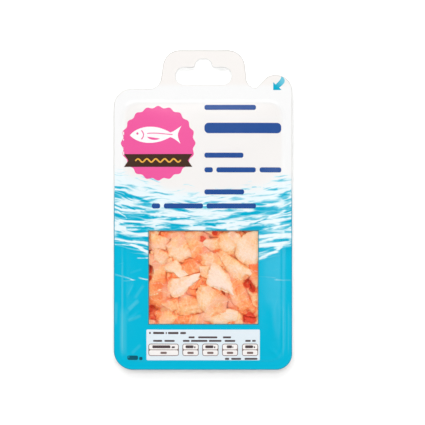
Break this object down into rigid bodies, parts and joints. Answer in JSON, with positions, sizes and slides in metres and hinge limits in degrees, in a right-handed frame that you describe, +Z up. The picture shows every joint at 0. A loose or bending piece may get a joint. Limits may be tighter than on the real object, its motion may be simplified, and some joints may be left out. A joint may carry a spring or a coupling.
{
  "type": "pack of smoked salmon",
  "caption": "Flat hanging retail pack of smoked salmon: a shallow sealed tray with a printed lid film, a clear window, a hang slot and a peel corner.",
  "frame": {"origin": "under the middle of the pack's outline, on the surface that the tray's floor rests on", "axes": "+Y towards the hang tab, +Z up out of the printed lid, +X to the right when the print is seen from above with the hang tab away from the viewer"},
  "size_m": [0.12, 0.215, 0.0184],
  "materials": {
    "tray_plastic": "satin milky white thermoformed plastic",
    "clear_film": "clear glossy lid film",
    "salmon": "moist smoked salmon flesh, pale orange pink",
    "white_ink": "white print",
    "sea_ink": "bright cyan print",
    "foam_ink": "pale cyan white print",
    "pink_ink": "bright pink print",
    "brown_ink": "dark brown print",
    "gold_ink": "warm gold print",
    "blue_ink": "dark blue print",
    "panel_ink": "very pale blue print",
    "rule_ink": "grey brown thin rules",
    "teal_ink": "dark teal print"
  },
  "bodies": {
    "root": {"tray": "tray_plastic", "salmon_heap": "salmon", "lid_film": "clear_film", "print_white_ground": "white_ink", "print_sea_ground": "sea_ink", "print_foam_streak_1": "foam_ink", "print_foam_streak_2": "foam_ink", "print_foam_streak_3": "foam_ink", "print_foam_streak_4": "foam_ink", "print_foam_streak_5": "foam_ink", "print_foam_streak_6": "foam_ink", "print_seal": "pink_ink", "print_fish": "white_ink", "print_ribbon": "brown_ink", "print_ribbon_wave": "gold_ink", "print_title_bar_1": "blue_ink", "print_title_bar_2": "blue_ink", "print_title_bar_3": "blue_ink", "print_title_bar_4": "blue_ink", "print_title_bar_5": "blue_ink", "print_title_bar_6": "blue_ink", "print_table_panel": "panel_ink", "print_table_cell_1": "rule_ink", "print_table_cell_2": "rule_ink", "print_table_cell_3": "rule_ink", "print_table_cell_4": "rule_ink", "print_table_cell_5": "rule_ink", "print_weight_bar": "teal_ink", "print_peel_arrow": "sea_ink"}
  },
  "joints": []
}
